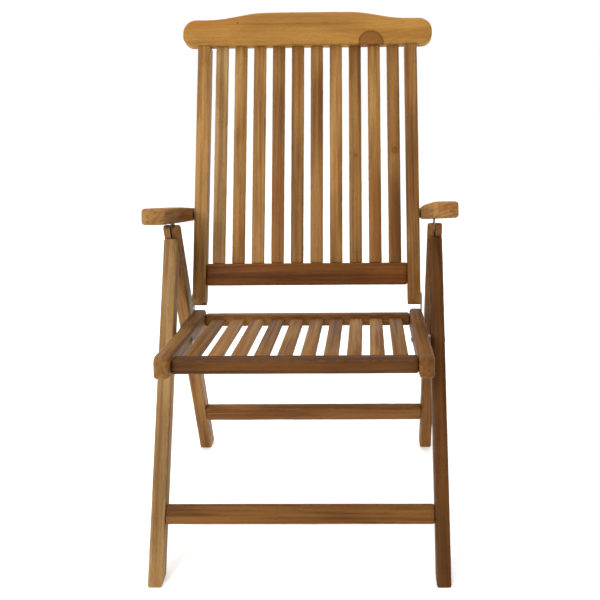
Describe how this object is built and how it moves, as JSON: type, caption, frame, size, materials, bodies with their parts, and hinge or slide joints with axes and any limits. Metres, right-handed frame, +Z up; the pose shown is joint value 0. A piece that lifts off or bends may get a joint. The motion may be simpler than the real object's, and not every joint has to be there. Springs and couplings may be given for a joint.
{
  "type": "folding deck chair",
  "caption": "Folding teak armchair with a slatted seat, a tall slatted reclining back under a shaped crest rail, hinged A-shaped legs and steel racks set into the arms.",
  "frame": {"origin": "on the ground, under the centre of the chair's outer size in X and Y", "axes": "+Z up, -Y the way the sitter faces, +X to the viewer's right when the chair is seen from the front"},
  "size_m": [0.633, 0.6477, 1.0608],
  "materials": {
    "arm_bolt_left": "satin, slightly dulled",
    "arm_bolt_right": "satin, slightly dulled",
    "arm_catch_left": "satin, slightly dulled",
    "arm_catch_right": "satin, slightly dulled",
    "arm_left": "oiled teak, satin",
    "arm_right": "oiled teak, satin",
    "arm_washer_left": "satin, slightly dulled",
    "arm_washer_right": "satin, slightly dulled",
    "back_bottom_rail": "oiled teak, satin",
    "back_slat_01": "oiled teak, satin",
    "back_slat_02": "oiled teak, satin",
    "back_slat_03": "oiled teak, satin",
    "back_slat_04": "oiled teak, satin",
    "back_slat_05": "oiled teak, satin",
    "back_slat_06": "oiled teak, satin",
    "back_slat_07": "oiled teak, satin",
    "back_slat_08": "oiled teak, satin",
    "back_slat_09": "oiled teak, satin",
    "back_slat_10": "oiled teak, satin",
    "back_upright_left": "oiled teak, satin",
    "back_upright_right": "oiled teak, satin",
    "crest_rail": "oiled teak, satin",
    "front_leg_left": "oiled teak, satin",
    "front_leg_right": "oiled teak, satin",
    "front_stretcher": "oiled teak, satin",
    "hinge_pin_left": "satin, slightly dulled",
    "hinge_pin_right": "satin, slightly dulled",
    "hinge_plate_left": "satin, slightly dulled",
    "hinge_plate_right": "satin, slightly dulled",
    "notched_plate_left": "satin, slightly dulled",
    "notched_plate_right": "satin, slightly dulled",
    "rear_leg_left": "oiled teak, satin",
    "rear_leg_right": "oiled teak, satin",
    "rear_stretcher": "oiled teak, satin",
    "seat_bolt_left": "satin, slightly dulled",
    "seat_bolt_right": "satin, slightly dulled",
    "seat_front_rail": "oiled teak, satin",
    "seat_rail_left": "oiled teak, satin",
    "seat_rail_right": "oiled teak, satin",
    "seat_rear_rail": "oiled teak, satin",
    "seat_rest_pin_left": "satin, slightly dulled",
    "seat_rest_pin_right": "satin, slightly dulled",
    "seat_slat_01": "oiled teak, satin",
    "seat_slat_02": "oiled teak, satin",
    "seat_slat_03": "oiled teak, satin",
    "seat_slat_04": "oiled teak, satin",
    "seat_slat_05": "oiled teak, satin",
    "seat_slat_06": "oiled teak, satin",
    "seat_slat_07": "oiled teak, satin",
    "seat_slat_08": "oiled teak, satin",
    "seat_slat_09": "oiled teak, satin",
    "seat_slat_10": "oiled teak, satin",
    "seat_washer_left": "satin, slightly dulled",
    "seat_washer_right": "satin, slightly dulled",
    "strap_left": "satin, slightly dulled",
    "strap_lower_pin_left": "satin, slightly dulled",
    "strap_lower_pin_right": "satin, slightly dulled",
    "strap_right": "satin, slightly dulled",
    "strap_upper_pin_left": "satin, slightly dulled",
    "strap_upper_pin_right": "satin, slightly dulled"
  },
  "bodies": {
    "front_frame": {"front_leg_left": "front_leg_left", "front_leg_right": "front_leg_right", "hinge_plate_left": "hinge_plate_left", "hinge_plate_right": "hinge_plate_right", "seat_bolt_left": "seat_bolt_left", "seat_bolt_right": "seat_bolt_right", "seat_washer_left": "seat_washer_left", "seat_washer_right": "seat_washer_right", "front_stretcher": "front_stretcher"},
    "rear_frame": {"rear_leg_left": "rear_leg_left", "rear_leg_right": "rear_leg_right", "hinge_pin_left": "hinge_pin_left", "hinge_pin_right": "hinge_pin_right", "arm_catch_left": "arm_catch_left", "arm_catch_right": "arm_catch_right", "seat_rest_pin_left": "seat_rest_pin_left", "seat_rest_pin_right": "seat_rest_pin_right", "rear_stretcher": "rear_stretcher"},
    "seat": {"seat_rail_left": "seat_rail_left", "seat_rail_right": "seat_rail_right", "strap_lower_pin_left": "strap_lower_pin_left", "strap_lower_pin_right": "strap_lower_pin_right", "seat_front_rail": "seat_front_rail", "seat_rear_rail": "seat_rear_rail", "seat_slat_01": "seat_slat_01", "seat_slat_02": "seat_slat_02", "seat_slat_03": "seat_slat_03", "seat_slat_04": "seat_slat_04", "seat_slat_05": "seat_slat_05", "seat_slat_06": "seat_slat_06", "seat_slat_07": "seat_slat_07", "seat_slat_08": "seat_slat_08", "seat_slat_09": "seat_slat_09", "seat_slat_10": "seat_slat_10"},
    "straps": {"strap_left": "strap_left", "strap_right": "strap_right", "strap_upper_pin_left": "strap_upper_pin_left", "strap_upper_pin_right": "strap_upper_pin_right"},
    "back": {"back_upright_left": "back_upright_left", "back_upright_right": "back_upright_right", "crest_rail": "crest_rail", "back_bottom_rail": "back_bottom_rail", "back_slat_01": "back_slat_01", "back_slat_02": "back_slat_02", "back_slat_03": "back_slat_03", "back_slat_04": "back_slat_04", "back_slat_05": "back_slat_05", "back_slat_06": "back_slat_06", "back_slat_07": "back_slat_07", "back_slat_08": "back_slat_08", "back_slat_09": "back_slat_09", "back_slat_10": "back_slat_10"},
    "left_arm_bolts": {"arm_bolt_left": "arm_bolt_left", "arm_washer_left": "arm_washer_left"},
    "left_arm": {"arm_left": "arm_left", "notched_plate_left": "notched_plate_left"},
    "right_arm_bolts": {"arm_bolt_right": "arm_bolt_right", "arm_washer_right": "arm_washer_right"},
    "right_arm": {"arm_right": "arm_right", "notched_plate_right": "notched_plate_right"}
  },
  "joints": [
    {"name": "leg_fold", "type": "hinge", "parent": "front_frame", "child": "rear_frame", "pos_m": [0, 0.0166, 0.5641], "axis": [-1, 0, 0], "range_deg": [0, 47]},
    {"name": "seat_fold", "type": "hinge", "parent": "front_frame", "child": "seat", "pos_m": [0, -0.09254, 0.41153], "axis": [1, 0, 0], "range_deg": [0, 66]},
    {"name": "strap_fold", "type": "hinge", "parent": "seat", "child": "straps", "pos_m": [0, 0.06076, 0.39601], "axis": [-1, 0, 0], "range_deg": [0, 71]},
    {"name": "back_recline", "type": "hinge", "parent": "straps", "child": "back", "pos_m": [0, 0.06299, 0.45005], "axis": [-1, 0, 0], "range_deg": [-6, 17]},
    {"name": "left_arm_follow", "type": "hinge", "parent": "back", "child": "left_arm_bolts", "pos_m": [-0.254, 0.13535, 0.62303], "axis": [1, 0, 0], "range_deg": [-5, 12]},
    {"name": "left_arm_lift", "type": "hinge", "parent": "left_arm_bolts", "child": "left_arm", "pos_m": [-0.254, 0.13535, 0.62303], "axis": [-1, 0, 0], "range_deg": [0, 100]},
    {"name": "right_arm_follow", "type": "hinge", "parent": "back", "child": "right_arm_bolts", "pos_m": [0.254, 0.13535, 0.62303], "axis": [1, 0, 0], "range_deg": [-5, 12]},
    {"name": "right_arm_lift", "type": "hinge", "parent": "right_arm_bolts", "child": "right_arm", "pos_m": [0.254, 0.13535, 0.62303], "axis": [-1, 0, 0], "range_deg": [0, 100]}
  ],
  "couplings": [
    {"joint": "seat_fold", "follows": "leg_fold", "ratio": 1.4},
    {"joint": "strap_fold", "follows": "leg_fold", "ratio": 1.5},
    {"joint": "left_arm_follow", "follows": "back_recline", "ratio": 0.68},
    {"joint": "right_arm_follow", "follows": "back_recline", "ratio": 0.68}
  ]
}
